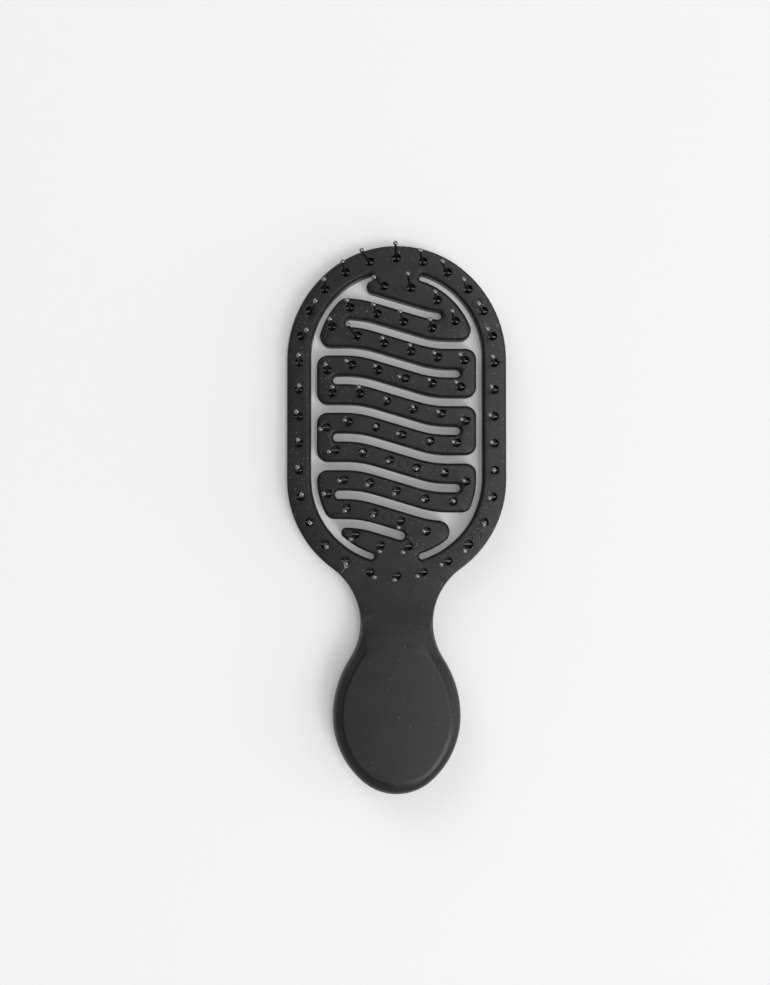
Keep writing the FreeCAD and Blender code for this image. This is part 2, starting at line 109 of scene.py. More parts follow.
def photo_scale() -> float:
    """Metres of the brush for one pixel of the photograph."""
    low, high = CAD_BOX
    return (high.y - low.y) / (HANDLE_END_ROW - HEAD_TIP_ROW)


def photo_place(column: float, row: float, height: float = 0.0) -> Vector:
    """Turns a pixel of the photograph into a place on the brush.

    Args:
        column: Pixel column, from the left.
        row: Pixel row, from the top.
        height: Height above the ground, in metres.

    Returns:
        The place in the brush's own frame, in metres.
    """
    scale = photo_scale()
    middle_row = (HEAD_TIP_ROW + HANDLE_END_ROW) / 2
    return Vector(((column - BRUSH_MIDDLE_COLUMN) * scale, (middle_row - row) * scale, height))


def add_object(name: str, data: bpy.types.ID) -> bpy.types.Object:
    """Adds an object to the scene.

    Args:
        name: The object's name.
        data: Its mesh, curve, light or camera.

    Returns:
        The new object.
    """
    added = bpy.data.objects.new(name, data)
    bpy.context.scene.collection.objects.link(added)
    return added


def deselect_all() -> None:
    """Clears the selection, which loading the frame leaves full."""
    bpy.ops.object.select_all(action="DESELECT")


def make_active(piece: bpy.types.Object) -> None:
    """Selects one object alone and makes it the active one.

    Args:
        piece: The object.
    """
    deselect_all()
    piece.select_set(True)
    bpy.context.view_layer.objects.active = piece


def select_below(piece: bpy.types.Object, height: float) -> None:
    """Selects the corners of a mesh below a height, and leaves the object in edit mode.

    Args:
        piece: The mesh object.
        height: The height that the corners stay under.
    """
    make_active(piece)
    bpy.ops.object.mode_set(mode="EDIT")
    bpy.ops.mesh.select_mode(type="VERT")
    bpy.ops.mesh.select_all(action="DESELECT")
    bpy.ops.object.mode_set(mode="OBJECT")
    for vertex in piece.data.vertices:
        vertex.select = vertex.co.z < height
    bpy.ops.object.mode_set(mode="EDIT")


def modify(piece: bpy.types.Object, name: str, kind: str, **settings) -> None:
    """Adds one modifier to a piece and applies it.

    Args:
        piece: The mesh object.
        name: The modifier's name.
        kind: The modifier's type name.
        settings: Properties to set on it.
    """
    make_active(piece)
    modifier = piece.modifiers.new(name, kind)
    for label, value in settings.items():
        setattr(modifier, label, value)
    bpy.ops.object.modifier_apply(modifier=modifier.name)


def corner_key(place: Vector) -> CornerKey:
    """Rounds a place to a thousandth of a millimetre, so that its copies match."""
    return tuple(round(value / (0.001 * MM)) for value in place)


def last_owner(owner: dict[CornerKey, CornerKey], key: CornerKey) -> CornerKey:
    """Follows a corner's owners to the one that stands for its whole solid.

    Args:
        owner: The next owner of each corner.
        key: The corner.

    Returns:
        The last owner.
    """
    while owner[key] != key:
        owner[key] = owner[owner[key]]
        key = owner[key]
    return key


def dress(piece: bpy.types.Object, material: bpy.types.Material) -> None:
    """Gives a piece its only material.

    Args:
        piece: The object to dress.
        material: The finish.
    """
    piece.data.materials.clear()
    piece.data.materials.append(material)


class NodeSheet:
    """A node tree with short calls for adding and joining nodes."""

    def __init__(self, tree: bpy.types.NodeTree) -> None:
        """Keeps the tree that the nodes go into."""
        self.tree = tree

    def add(self, kind: str, **settings) -> bpy.types.Node:
        """Adds a node.

        Args:
            kind: The node's type name.
            settings: Properties to set on it.

        Returns:
            The new node.
        """
        node = self.tree.nodes.new(kind)
        for name, value in settings.items():
            setattr(node, name, value)
        return node

    def feed(self, value: Reading | Colour | Place | Vector, target: bpy.types.NodeSocket) -> None:
        """Gives an input its value.

        Args:
            value: An output to link, or a number, colour or place to set.
            target: The input.
        """
        if isinstance(value, bpy.types.NodeSocket):
            self.tree.links.new(value, target)
        else:
            target.default_value = value

    def math(self, operation: str, *values: Reading, clamp: bool = False) -> bpy.types.NodeSocket:
        """Adds a maths node.

        Args:
            operation: Name of the operation.
            values: One or two outputs or numbers.
            clamp: True keeps the result between 0 and 1.

        Returns:
            The result's socket.
        """
        node = self.add("ShaderNodeMath", operation=operation, use_clamp=clamp)
        for value, target in zip(values, node.inputs):
            self.feed(value, target)
        return node.outputs[0]

    def ramp(self, value: bpy.types.NodeSocket, low: float, high: float) -> bpy.types.NodeSocket:
        """Smooth step from 0 at one value to 1 at another.

        Args:
            value: The number that is read.
            low: Where the result is 0.
            high: Where the result is 1.

        Returns:
            The result's socket.
        """
        node = self.add("ShaderNodeMapRange", interpolation_type="SMOOTHSTEP")
        self.feed(value, node.inputs["Value"])
        self.feed(low, node.inputs["From Min"])
        self.feed(high, node.inputs["From Max"])
        return node.outputs["Result"]

    def spread(self, share: bpy.types.NodeSocket, low: float, high: float) -> bpy.types.NodeSocket:
        """Even run between two values.

        Args:
            share: A number from 0 to 1.
            low: The result at 0.
            high: The result at 1.

        Returns:
            The result's socket.
        """
        node = self.add("ShaderNodeMapRange")
        self.feed(share, node.inputs["Value"])
        self.feed(low, node.inputs["To Min"])
        self.feed(high, node.inputs["To Max"])
        return node.outputs["Result"]

    def noise(
        self, place: bpy.types.NodeSocket, scale: Reading, detail: float, roughness: float = 0.5
    ) -> bpy.types.NodeSocket:
        """Adds a noise texture.

        Args:
            place: The vector that it reads.
            scale: Repeats for each metre.
            detail: Octaves of finer noise.
            roughness: How strong the finer noise is.

        Returns:
            The noise value's socket.
        """
        node = self.add("ShaderNodeTexNoise")
        self.feed(place, node.inputs["Vector"])
        self.feed(scale, node.inputs["Scale"])
        self.feed(detail, node.inputs["Detail"])
        self.feed(roughness, node.inputs["Roughness"])
        return node.outputs["Fac"]

    def axis(self, vector: bpy.types.NodeSocket, name: str) -> bpy.types.NodeSocket:
        """Takes one number out of a vector.

        Args:
            vector: The vector's socket.
            name: X, Y or Z.

        Returns:
            The number's socket.
        """
        node = self.add("ShaderNodeSeparateXYZ")
        self.feed(vector, node.inputs["Vector"])
        return node.outputs[name]

    def mix(
        self,
        share: bpy.types.NodeSocket,
        first: bpy.types.NodeSocket | Colour,
        second: bpy.types.NodeSocket | Colour,
    ) -> bpy.types.NodeSocket:
        """Mixes two colours.

        Args:
            share: 0 for the first colour, 1 for the second.
            first: An output or a colour.
            second: An output or a colour.

        Returns:
            The mixed colour's socket.
        """
        node = self.add("ShaderNodeMix", data_type="RGBA")
        for value, name in ((share, "Factor"), (first, "A"), (second, "B")):
            self.feed(value, node.inputs[name])
        return node.outputs["Result"]

    def mix_shaders(
        self, share: bpy.types.NodeSocket, first: bpy.types.NodeSocket, second: bpy.types.NodeSocket
    ) -> bpy.types.NodeSocket:
        """Mixes two shaders.

        Args:
            share: 0 for the first shader, 1 for the second.
            first: The first shader's output.
            second: The second shader's output.

        Returns:
            The mixed shader's socket.
        """
        node = self.add("ShaderNodeMixShader")
        for value, target in zip((share, first, second), node.inputs):
            self.feed(value, target)
        return node.outputs["Shader"]

    def bump(
        self, height: bpy.types.NodeSocket, distance: float, strength: float = 1.0
    ) -> bpy.types.NodeSocket:
        """Adds a bump node.

        Args:
            height: The height's socket.
            distance: How far a height of 1 stands out, in metres.
            strength: Share of the bump that shows.

        Returns:
            The normal's socket.
        """
        node = self.add("ShaderNodeBump")
        self.feed(height, node.inputs["Height"])
        self.feed(distance, node.inputs["Distance"])
        self.feed(strength, node.inputs["Strength"])
        return node.outputs["Normal"]


class EffectGroup:
    """Base of the shader node groups that the finishes share."""

    name: str = "effect"
    inputs: tuple[tuple[str, Socket, float | None], ...] = ()
    outputs: tuple[tuple[str, Socket], ...] = ()

    def __init__(self) -> None:
        """Builds the group once."""
        self.tree = bpy.data.node_groups.new(self.name, "ShaderNodeTree")
        for label, kind, value in self.inputs:
            socket = self.tree.interface.new_socket(label, in_out="INPUT", socket_type=kind.value)
            if value is not None:
                socket.default_value = value
        for label, kind in self.outputs:
            self.tree.interface.new_socket(label, in_out="OUTPUT", socket_type=kind.value)
        sheet = NodeSheet(self.tree)
        self.fill(sheet, sheet.add("NodeGroupInput"), sheet.add("NodeGroupOutput"))

    def fill(self, sheet: NodeSheet, source: bpy.types.Node, result: bpy.types.Node) -> None:
        """Makes the group's nodes. Each effect has its own."""
        raise NotImplementedError

    def place(self, sheet: NodeSheet, reads: bpy.types.NodeSocket, **values: Reading) -> bpy.types.Node:
        """Puts the group into a material.

        Args:
            sheet: The material's nodes.
            reads: Object coordinates, or the object's normal for an effect of the edges.
            values: Outputs or numbers for the inputs by name, with _ for a space.

        Returns:
            The group node.
        """
        node = sheet.add("ShaderNodeGroup", node_tree=self.tree)
        sheet.feed(reads, node.inputs[0])
        for label, value in values.items():
            sheet.feed(value, node.inputs[label.replace("_", " ")])
        return node


class MouldGrain(EffectGroup):
    """Fine grain of a moulded surface: height, and a slow change of tone."""

    name = "mould_grain"
    inputs = (
        ("Position", Socket.VECTOR, None),
        ("Grain Scale", Socket.NUMBER, 2500.0),
        ("Cloud Scale", Socket.NUMBER, 90.0),
    )
    outputs = (("Height", Socket.NUMBER), ("Cloud", Socket.NUMBER))
    grain_detail: float = 3.0
    cloud_detail: float = 4.0
    cloud_roughness: float = 0.65

    def fill(self, sheet: NodeSheet, source: bpy.types.Node, result: bpy.types.Node) -> None:
        """Makes two noises, a fine one and a slow one.

        Args:
            sheet: The group's nodes.
            source: The group's inputs.
            result: The group's outputs.
        """
        place = source.outputs["Position"]
        fine = sheet.noise(place, source.outputs["Grain Scale"], self.grain_detail)
        slow = sheet.noise(place, source.outputs["Cloud Scale"], self.cloud_detail, self.cloud_roughness)
        sheet.feed(fine, result.inputs["Height"])
        sheet.feed(slow, result.inputs["Cloud"])


class DustSpecks(EffectGroup):
    """Pale specks of dust, thin in some places and thicker in others."""

    name = "dust_specks"
    inputs = (
        ("Position", Socket.VECTOR, None),
        ("Speck Scale", Socket.NUMBER, 1100.0),
        ("Speck Size", Socket.NUMBER, 0.16),
        ("Amount", Socket.NUMBER, 0.5),
    )
    outputs = (("Mask", Socket.NUMBER),)
    patch_scale: float = 70.0
    patch_detail: float = 3.0
    patch_from: float = 0.42
    patch_to: float = 0.68

    def fill(self, sheet: NodeSheet, source: bpy.types.Node, result: bpy.types.Node) -> None:
        """Keeps the middles of some cells, chosen by the cell's own colour and a slow noise.

        Args:
            sheet: The group's nodes.
            source: The group's inputs.
            result: The group's outputs.
        """
        place = source.outputs["Position"]
        cells = sheet.add("ShaderNodeTexVoronoi")
        sheet.feed(place, cells.inputs["Vector"])
        sheet.feed(source.outputs["Speck Scale"], cells.inputs["Scale"])
        near = sheet.math("LESS_THAN", cells.outputs["Distance"], source.outputs["Speck Size"])
        lot = sheet.add("ShaderNodeSeparateColor")
        sheet.feed(cells.outputs["Color"], lot.inputs["Color"])
        slow = sheet.noise(place, self.patch_scale, self.patch_detail)
        patch = sheet.ramp(slow, self.patch_from, self.patch_to)
        chance = sheet.math("MULTIPLY", patch, source.outputs["Amount"])
        kept = sheet.math("LESS_THAN", lot.outputs["Red"], chance)
        sheet.feed(sheet.math("MULTIPLY", near, kept), result.inputs["Mask"])


class EdgeHighlightMask(EffectGroup):
    """Mask of the rounded edges, by the normal, where a highlight is painted into the colour and the coat is
    made duller.
    """

    name = "edge_highlight_mask"
    inputs = (
        ("Normal", Socket.VECTOR, None),
        ("Steep", Socket.NUMBER, 0.25),
        ("Level", Socket.NUMBER, 0.97),
    )
    outputs = (("Mask", Socket.NUMBER),)

    def fill(self, sheet: NodeSheet, source: bpy.types.Node, result: bpy.types.Node) -> None:
        """Keeps what is neither level nor upright, by the height of the normal.

        Args:
            sheet: The group's nodes.
            source: The group's inputs.
            result: The group's outputs.
        """
        height = sheet.axis(source.outputs["Normal"], "Z")
        over_wall = sheet.math("GREATER_THAN", height, source.outputs["Steep"])
        off_level = sheet.math("LESS_THAN", height, source.outputs["Level"])
        sheet.feed(sheet.math("MULTIPLY", over_wall, off_level), result.inputs["Mask"])


@dataclass(frozen=True)
class Effects:
    """The shared effects, built once."""

    grain: MouldGrain = field(default_factory=MouldGrain)
    dust: DustSpecks = field(default_factory=DustSpecks)
    edges: EdgeHighlightMask = field(default_factory=EdgeHighlightMask)


class MaterialSheet(NodeSheet):
    """The nodes of one new material, with its shader and what the patterns read."""

    def __init__(self, name: str, effects: Effects) -> None:
        """Makes the material.

        Args:
            name: The material's name.
            effects: The shared effects.
        """
        self.made = bpy.data.materials.new(name)
        self.made.use_nodes = True
        super().__init__(self.made.node_tree)
        self.shader = self.tree.nodes["Principled BSDF"]
        self.effects = effects
        coordinates = self.add("ShaderNodeTexCoord")
        self.position = coordinates.outputs["Object"]
        self.normal = coordinates.outputs["Normal"]

    def surface(self, **values: Reading | Colour) -> None:
        """Sets or links inputs of the shader.

        Args:
            values: The inputs' values by name, with _ for a space.
        """
        for label, value in values.items():
            self.feed(value, self.shader.inputs[label.replace("_", " ")])


@dataclass(frozen=True)
class RingMark:
    """Faint ring that an ejector of the mould left on the face."""

    column: float
    row: float
    radius: float = 1.2 * MM
    line: float = 0.16 * MM

    def mask(self, sheet: MaterialSheet) -> bpy.types.NodeSocket:
        """Mask of the ring's line.

        Args:
            sheet: The material's nodes.

        Returns:
            A socket that is 1 on the line and 0 away from it.
        """
        flat = sheet.add("ShaderNodeVectorMath", operation="MULTIPLY")
        sheet.feed(sheet.position, flat.inputs[0])
        sheet.feed((1.0, 1.0, 0.0), flat.inputs[1])
        away = sheet.add("ShaderNodeVectorMath", operation="DISTANCE")
        sheet.feed(flat.outputs["Vector"], away.inputs[0])
        sheet.feed(photo_place(self.column, self.row), away.inputs[1])
        off_line = sheet.math("ABSOLUTE", sheet.math("SUBTRACT", away.outputs["Value"], self.radius))
        share = sheet.math("DIVIDE", off_line, self.line, clamp=True)
        return sheet.math("SUBTRACT", 1.0, share, clamp=True)


# Where the photograph shows them
RING_MARKS = (
    RingMark(399, 288),
    RingMark(477, 303),
    RingMark(393, 375),
    RingMark(403, 463),
    RingMark(387, 516),
    RingMark(316.5, 534),
    RingMark(476, 535.5),
)


class Finish:
    """Base of the finishes. Each is a material with one Principled shader and a mottled tone."""

    name: ClassVar[str] = "finish"
    dark: Colour
    light: Colour
    grain_scale: float
    cloud_scale: float

    def material(self, effects: Effects) -> bpy.types.Material:
        """Builds the material.

        Args:
            effects: The shared effects.

        Returns:
            The new material.
        """
        sheet = MaterialSheet(self.name, effects)
        self.fill(sheet)
        return sheet.made

    def grain(self, sheet: MaterialSheet, position: bpy.types.NodeSocket) -> bpy.types.Node:
        """Puts the mould's grain into the material, at the finish's own scales.

        Args:
            sheet: The material's nodes.
            position: Object coordinates.

        Returns:
            The grain's group node.
        """
        scales = {"Grain_Scale": self.grain_scale, "Cloud_Scale": self.cloud_scale}
        return sheet.effects.grain.place(sheet, position, **scales)

    def fill(self, sheet: MaterialSheet) -> None:
        """Joins the finish's nodes to its shader. Each finish has its own."""
        raise NotImplementedError


@dataclass(frozen=True)
class SoftTouchPlastic(Finish):
    """Black plastic with a fine matt coat, a little dust and the mould's ring marks."""

    name: ClassVar[str] = "soft_touch_black"
    dark: Colour = (0.0032, 0.0032, 0.0034, 1.0)
    light: Colour = (0.0060, 0.0060, 0.0064, 1.0)
    grain_scale: float = 5200.0
    cloud_scale: float = 60.0
    cloud_from: float = 0.35
    cloud_to: float = 0.65
    # Painted highlight: a lighter colour on the rounded edges
    painted_edge_highlight: Colour = (0.013, 0.013, 0.0135, 1.0)
    smooth: float = 0.28
    rough: float = 0.36
    edge_matt: float = 0.08
    sheen_level: float = 0.36
    grain_height: float = 0.25
    bump_height: float = 0.06 * MM
    bump_strength: float = 0.6
    dust_colour: Colour = (0.32, 0.31, 0.30, 1.0)
    speck_scale: float = 2900.0
    speck_size: float = 0.24
    dust_everywhere: float = 0.012
    dust_on_head: float = 0.12
    dusty_from: float = -30 * MM
    dusty_to: float = -2 * MM

    def dust(self, sheet: MaterialSheet) -> bpy.types.NodeSocket:
        """Scatters dust, thicker on the head than on the handle.

        Args:
            sheet: The material's nodes.

        Returns:
            The mask of the specks.
        """
        on_head = sheet.ramp(sheet.axis(sheet.position, "Y"), self.dusty_from, self.dusty_to)
        amount = sheet.math("ADD", sheet.math("MULTIPLY", on_head, self.dust_on_head), self.dust_everywhere)
        specks = {"Speck_Scale": self.speck_scale, "Speck_Size": self.speck_size, "Amount": amount}
        return sheet.effects.dust.place(sheet, sheet.position, **specks).outputs["Mask"]

    def rings(self, sheet: MaterialSheet) -> bpy.types.NodeSocket:
        """Brings all the ring marks together.

        Args:
            sheet: The material's nodes.

        Returns:
            The mask of the rings.
        """
        rings, *others = (mark.mask(sheet) for mark in RING_MARKS)
        for ring in others:
            rings = sheet.math("MAXIMUM", rings, ring)
        return rings

    def fill(self, sheet: MaterialSheet) -> None:
        """Sets colour, roughness and height.

        Args:
            sheet: The material's nodes.
        """
        grain = self.grain(sheet, sheet.position)
        cloud = grain.outputs["Cloud"]
        # Painted highlight on the rounded edges, which are also given a higher roughness
        edge_mask = sheet.effects.edges.place(sheet, sheet.normal).outputs["Mask"]
        tone = sheet.mix(sheet.ramp(cloud, self.cloud_from, self.cloud_to), self.dark, self.light)
        highlighted_tone = sheet.mix(edge_mask, tone, self.painted_edge_highlight)
        matt = sheet.spread(cloud, self.smooth, self.rough)
        duller = sheet.math("MULTIPLY", edge_mask, self.edge_matt)
        fine = sheet.math("MULTIPLY", grain.outputs["Height"], self.grain_height)
        height = sheet.math("SUBTRACT", fine, self.rings(sheet))
        sheet.surface(
            Base_Color=sheet.mix(self.dust(sheet), highlighted_tone, self.dust_colour),
            Roughness=sheet.math("ADD", matt, duller),
            Specular_IOR_Level=self.sheen_level,
            Normal=sheet.bump(height, self.bump_height, self.bump_strength),
        )


@dataclass(frozen=True)
class GlossNylon(Finish):
    """Glossy black nylon of the pins."""

    name: ClassVar[str] = "pin_gloss_black"
    dark: Colour = (0.004, 0.004, 0.004, 1.0)
    light: Colour = (0.009, 0.009, 0.0095, 1.0)
    grain_scale: float = 2600.0
    cloud_scale: float = 400.0
    smooth: float = 0.07
    rough: float = 0.15
    shaft_matt: float = 0.26
    shaft_level: float = 0.18
    ball_index: float = 2.8
    ball_from: float = 17.3 * MM
    ball_to: float = 18.0 * MM

    def fill(self, sheet: MaterialSheet) -> None:
        """Sets colour and gloss: the balls are polished, the shafts are as moulded.

        Args:
            sheet: The material's nodes.
        """
        grain = self.grain(sheet, sheet.position)
        gloss = sheet.spread(grain.outputs["Height"], self.smooth, self.rough)
        ball = sheet.ramp(sheet.axis(sheet.position, "Z"), self.ball_from, self.ball_to)
        shaft = sheet.math("MULTIPLY", sheet.math("SUBTRACT", 1.0, ball), self.shaft_matt)
        sheet.surface(
            Base_Color=sheet.mix(grain.outputs["Cloud"], self.dark, self.light),
            Roughness=sheet.math("ADD", gloss, shaft),
            Specular_IOR_Level=self.shaft_level,
            Coat_Weight=ball,
            Coat_IOR=self.ball_index,
            Coat_Roughness=self.smooth,
        )


@dataclass(frozen=True)
class DrawnWire(Finish):
    """Bare flat wire of the anchors, with fine lines along it."""

    name: ClassVar[str] = "anchor_drawn_wire"
    dark: Colour = (0.01, 0.01, 0.01, 1.0)
    light: Colour = (0.20, 0.20, 0.195, 1.0)
    grain_scale: float = 9000.0
    cloud_scale: float = 900.0
    drawn_out: Place = (0.12, 1.0, 1.0)
    roughness: float = 0.34
    bump_height: float = 0.01 * MM

    def fill(self, sheet: MaterialSheet) -> None:
        """Stretches the grain along the wire.

        Args:
            sheet: The material's nodes.
        """
        mapping = sheet.add("ShaderNodeMapping")
        sheet.feed(sheet.position, mapping.inputs["Vector"])
        sheet.feed(self.drawn_out, mapping.inputs["Scale"])
        lines = self.grain(sheet, mapping.outputs["Vector"]).outputs["Height"]
        sheet.surface(
            Base_Color=sheet.mix(lines, self.dark, self.light),
            Metallic=1.0,
            Roughness=self.roughness,
            Normal=sheet.bump(lines, self.bump_height),
        )


@dataclass(frozen=True)
class LintFibre(Finish):
    """Pale yellowish fibre of the lint on the rim."""

    name: ClassVar[str] = "lint_fibre"
    dark: Colour = (0.42, 0.36, 0.22, 1.0)
    light: Colour = (0.72, 0.66, 0.50, 1.0)
    grain_scale: float = 4000.0
    cloud_scale: float = 1500.0
    roughness: float = 0.9

    def fill(self, sheet: MaterialSheet) -> None:
        """Sets a mottled colour.

        Args:
            sheet: The material's nodes.
        """
        cloud = self.grain(sheet, sheet.position).outputs["Cloud"]
        sheet.surface(Base_Color=sheet.mix(cloud, self.dark, self.light), Roughness=self.roughness)


@dataclass
class BrushShell:
    """The moulded body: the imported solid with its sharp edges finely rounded."""

    merge_gap: float = 0.002 * MM
    edge_width: float = 0.14 * MM
    edge_segments: int = 2
    sharp_angle: float = math.radians(40)
    shade_angle: float = math.radians(50)
    level: float = 0.9999
    shell: bpy.types.Object | None = None

    def build(self) -> None:
        """Copies the solid, merges its triangles and rounds its edges."""
        source = frame["nodes"]["brush_body"]
        self.shell = add_object("body_moulding", source.data.copy())
        make_active(self.shell)
        bpy.ops.object.mode_set(mode="EDIT")
        bpy.ops.mesh.select_all(action="SELECT")
        bpy.ops.mesh.remove_doubles(threshold=self.merge_gap)
        bpy.ops.mesh.customdata_custom_splitnormals_clear()
        bpy.ops.object.mode_set(mode="OBJECT")
        modify(
            self.shell,
            "rounded_edges",
            "BEVEL",
            width=self.edge_width,
            segments=self.edge_segments,
            limit_method="ANGLE",
            angle_limit=self.sharp_angle,
            use_clamp_overlap=False,
            harden_normals=False,
        )
        bpy.ops.object.shade_smooth_by_angle(angle=self.shade_angle)
        modify(self.shell, "flat_faces", "WEIGHTED_NORMAL", keep_sharp=True)
        self.shade_level_faces()
        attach(self.shell, BODY)
        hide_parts("brush_body")

    def shade_level_faces(self) -> None:
        """Shades the level faces as level, so that the thin triangles at their rims don't show."""
        mesh = self.shell.data
        normals = [tuple(corner.vector) for corner in mesh.corner_normals]
        for face in mesh.polygons:
            if abs(face.normal.z) > self.level:
                for corner in face.loop_indices:
                    normals[corner] = tuple(face.normal)
        mesh.normals_split_custom_set(normals)

    def dress(self, material: bpy.types.Material) -> None:
        """Gives the body, and the solid that it replaces, its plastic."""
        dress(self.shell, material)
        dress(frame["nodes"]["brush_body"], material)


@dataclass
class PinField:
    """Ball-tipped pins of one node, each with its own lean and place."""

    node: str
    ball_radius: float = 0.6 * MM
    shaft_radius: float = 0.3 * MM
    sides: int = 12
    ball_rings: int = 8
    ball_kept: float = 0.97
    same_level: float = 0.01 * MM
    shade_angle: float = math.radians(60)
    packed_rings: int = 5
    row_digits: int = 4
    piece: bpy.types.Object | None = None

    def solids(self) -> list[list[Vector]]:
        """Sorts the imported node's corners by the pin that they belong to.

        Returns:
            A list of corners for each pin.
        """
        mesh = frame["nodes"][self.node].data
        places = {corner_key(vertex.co): vertex.co.copy() for vertex in mesh.vertices}
        owner = {key: key for key in places}
        for polygon in mesh.polygons:
            first, *others = (corner_key(mesh.vertices[index].co) for index in polygon.vertices)
            for other in others:
                owner[last_owner(owner, other)] = last_owner(owner, first)
        groups = {}
        for key, place in places.items():
            groups.setdefault(last_owner(owner, key), []).append(place)
        return list(groups.values())

    def neck_drop(self) -> float:
        """How far below the ball's centre the shaft meets it."""
        return math.sqrt(self.ball_radius**2 - self.shaft_radius**2)

    def axes(self) -> list[tuple[Vector, Vector]]:
        """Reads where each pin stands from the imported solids.

        Returns:
            A (foot, ball centre) pair for each pin, from the tip down and from left to right.
        """
        pairs = []
        for points in self.solids():
            points.sort(key=lambda point: point.z)
            ring = len(points) // self.packed_rings
            foot = sum(points[:ring], Vector()) / ring
            top = sum(points[-ring:], Vector()) / ring
            way = (top - foot).normalized()
            pairs.append((foot, top - way * self.neck_drop()))
        return sorted(pairs, key=lambda pair: (round(-pair[0].y, self.row_digits), pair[0].x))

    def pattern_pin(self, length: float) -> bpy.types.Object:
        """Models one upright pin: a ball whose underside is drawn out into the shaft.

        Args:
            length: From the foot to the ball's centre.

        Returns:
            The pin, with its foot at the origin.
        """
        deselect_all()
        bpy.ops.mesh.primitive_uv_sphere_add(
            segments=self.sides, ring_count=self.ball_rings, radius=self.ball_radius, location=(0, 0, length)
        )
        piece = bpy.context.active_object
        bpy.ops.object.transform_apply(location=True, rotation=False, scale=False)
        select_below(piece, length - self.neck_drop() * self.ball_kept)
        bpy.ops.mesh.delete(type="VERT")
        bpy.ops.object.mode_set(mode="OBJECT")
        low = min(vertex.co.z for vertex in piece.data.vertices)
        rim_top = low + self.same_level
        rim = [vertex.co for vertex in piece.data.vertices if vertex.co.z < rim_top]
        rim_radius = max(math.hypot(place.x, place.y) for place in rim)
        ratio = self.shaft_radius / rim_radius
        shoulder = (0, 0, -(rim_radius - self.shaft_radius))
        to_foot = (0, 0, -low + rim_radius - self.shaft_radius)
        select_below(piece, rim_top)
        bpy.ops.mesh.extrude_edges_move(TRANSFORM_OT_translate={"value": shoulder})
        bpy.ops.transform.resize(value=(ratio, ratio, 1), center_override=(0, 0, 0))
        bpy.ops.mesh.extrude_edges_move(TRANSFORM_OT_translate={"value": to_foot})
        bpy.ops.mesh.edge_face_add()
        bpy.ops.mesh.select_all(action="SELECT")
        bpy.ops.mesh.normals_make_consistent(inside=False)
        bpy.ops.object.mode_set(mode="OBJECT")
        bpy.ops.object.shade_smooth_by_angle(angle=self.shade_angle)
        return piece

    def leaning_pin(
        self, name: str, pattern: bpy.types.Object, length: float, foot: Vector, ball: Vector
    ) -> bpy.types.Object:
        """Copies the pattern pin on to one pin's own line.

        Args:
            name: The copy's name.
            pattern: The upright pin.
            length: The upright pin's length, to the ball's centre.
            foot: Where the pin stands.
            ball: Where its ball's centre is.

        Returns:
            The copy, with its place in its mesh.
        """
        way = ball - foot
        pin = add_object(name, pattern.data.copy())
        stretch = way.length - length
        for vertex in pin.data.vertices:
            if vertex.co.z > length / 2:
                vertex.co.z += stretch
        turn = Vector((0, 0, 1)).rotation_difference(way).to_matrix().to_4x4()
        pin.data.transform(Matrix.Translation(foot) @ turn)
        return pin

    def build(self) -> None:
        """Copies the pattern pin on to every pin's own line and joins them into one piece."""
        pairs = self.axes()
        first_foot, first_ball = pairs[0]
        length = (first_ball - first_foot).length
        pattern = self.pattern_pin(length)
        pins = [
            self.leaning_pin(f"{self.node}_{index}", pattern, length, foot, ball)
            for index, (foot, ball) in enumerate(pairs)
        ]
        bpy.data.objects.remove(pattern)
        whole = pins[0]
        make_active(whole)
        for pin in pins:
            pin.select_set(True)
        bpy.ops.object.join()
        whole.name = self.node + "_smooth"
        self.piece = whole
        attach(whole, BODY)
        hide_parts(self.node)

    def dress(self, material: bpy.types.Material) -> None:
        """Gives the pins, and the solids that they replace, their nylon."""
        dress(self.piece, material)
        dress(frame["nodes"][self.node], material)


@dataclass
class AnchorSlips:
    """Flat metal anchors in the holes, kept as packed."""

    nodes: tuple[str, ...] = ("rim_anchors", "pad_anchors")

    def dress(self, material: bpy.types.Material) -> None:
        """Gives the anchors their bare metal."""
        for node in self.nodes:
            dress(frame["nodes"][node], material)


